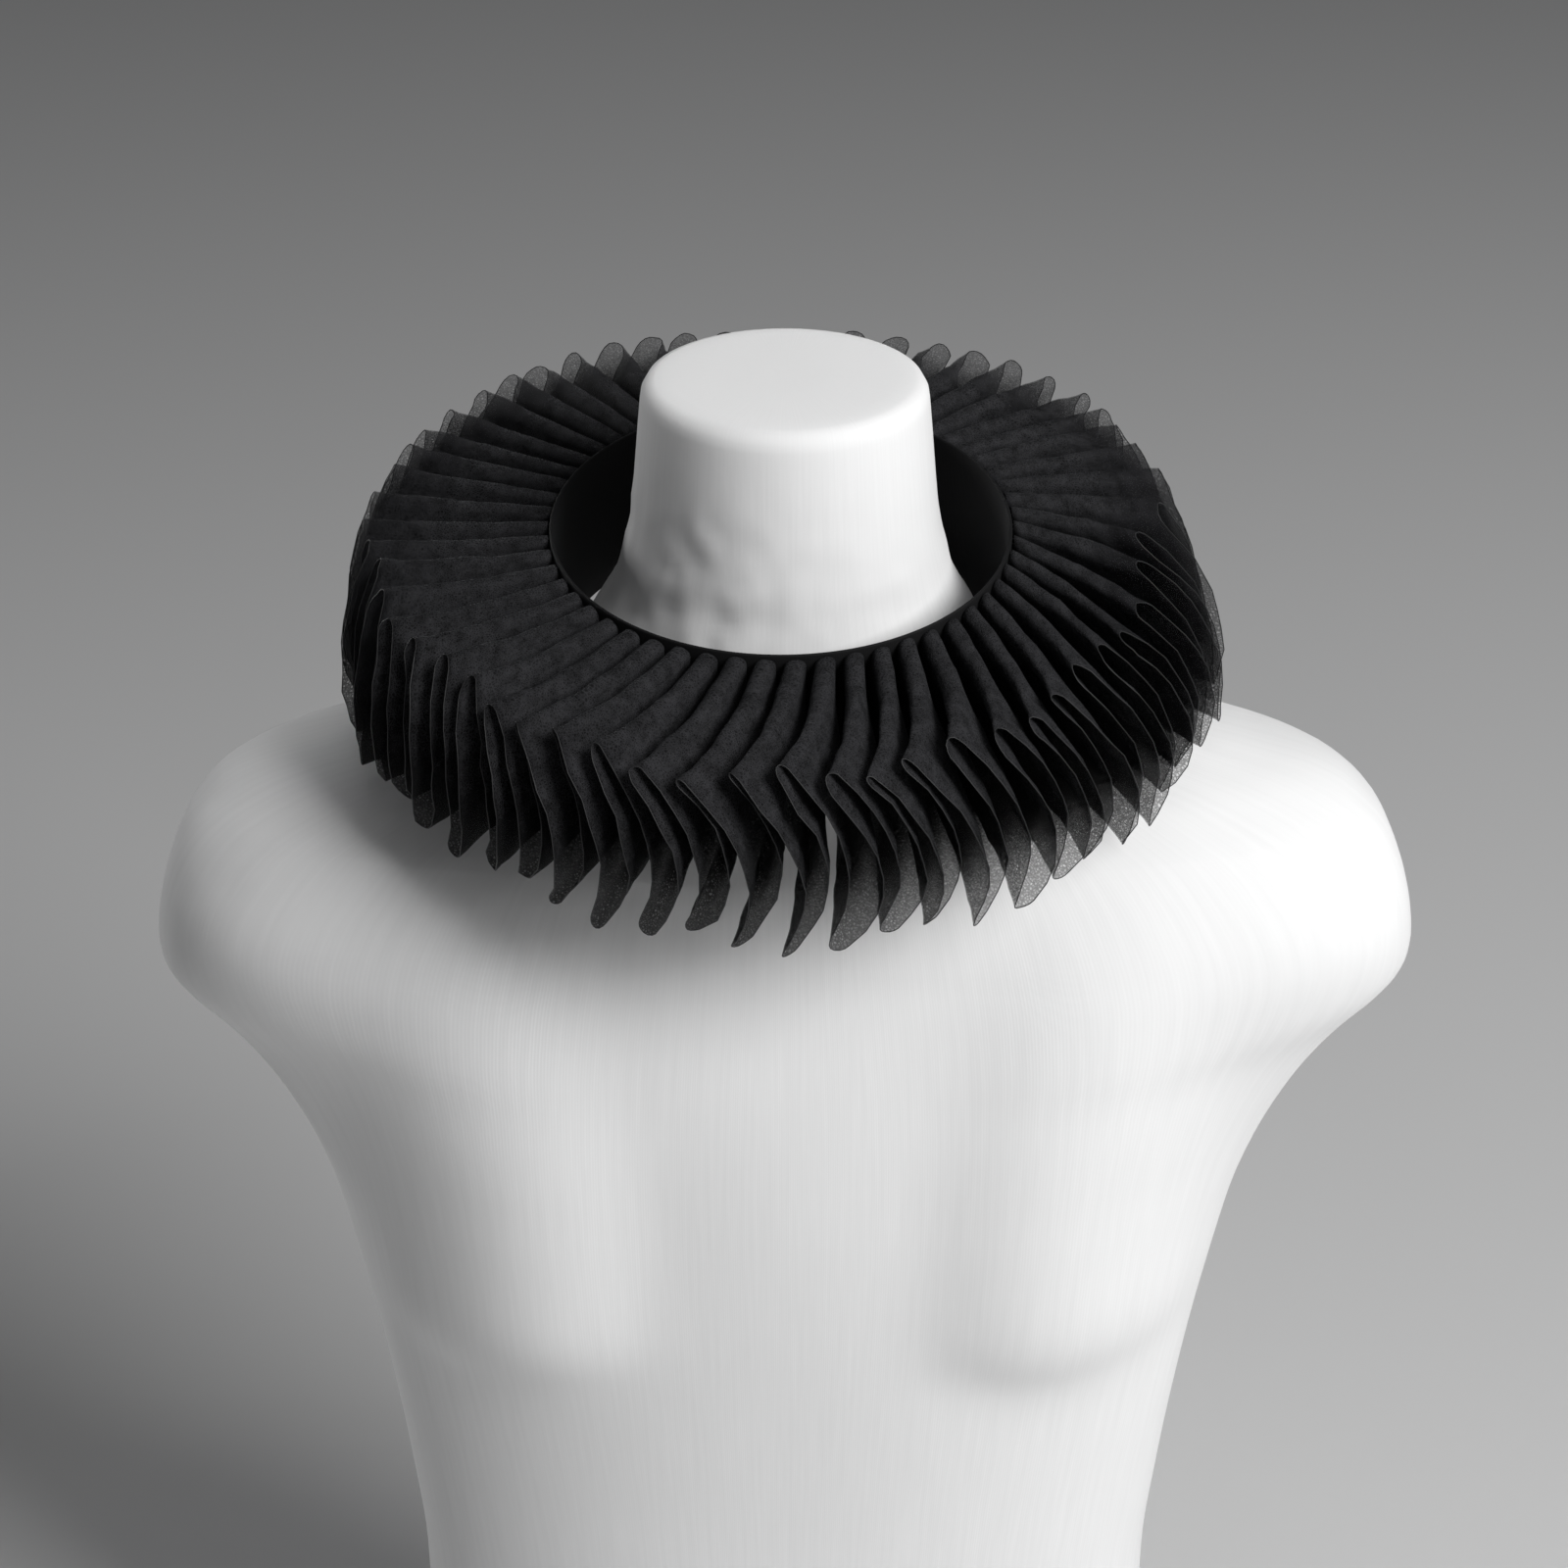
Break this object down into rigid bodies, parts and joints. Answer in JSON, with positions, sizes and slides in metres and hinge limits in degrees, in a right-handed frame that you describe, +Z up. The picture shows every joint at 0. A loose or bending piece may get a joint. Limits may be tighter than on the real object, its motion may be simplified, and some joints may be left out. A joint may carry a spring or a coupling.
{
  "type": "ruff collar on a dress form",
  "caption": "Pleated net ruff collar, round and tilted forward, resting on the neck of a white limbless dress form that stands on its flat base.",
  "frame": {"origin": "middle of the dress form's flat underside, on the surface that it stands on", "axes": "+Z up through the neck; the form faces -Y; +X is the viewer's right when facing its front"},
  "size_m": [0.4326, 0.2824, 0.6233],
  "materials": {
    "net": "sheer black nylon net with a narrow rolled edge",
    "band_cloth": "matt black woven band",
    "wire": "black enamelled steel",
    "form_cover": "white fine jersey stretched over a padded form"
  },
  "bodies": {
    "root": {"frill": "net", "neckband": "band_cloth", "hook_upper": "wire", "hook_lower": "wire", "bar_upper": "wire", "bar_lower": "wire", "dress_form": "form_cover"}
  },
  "joints": []
}
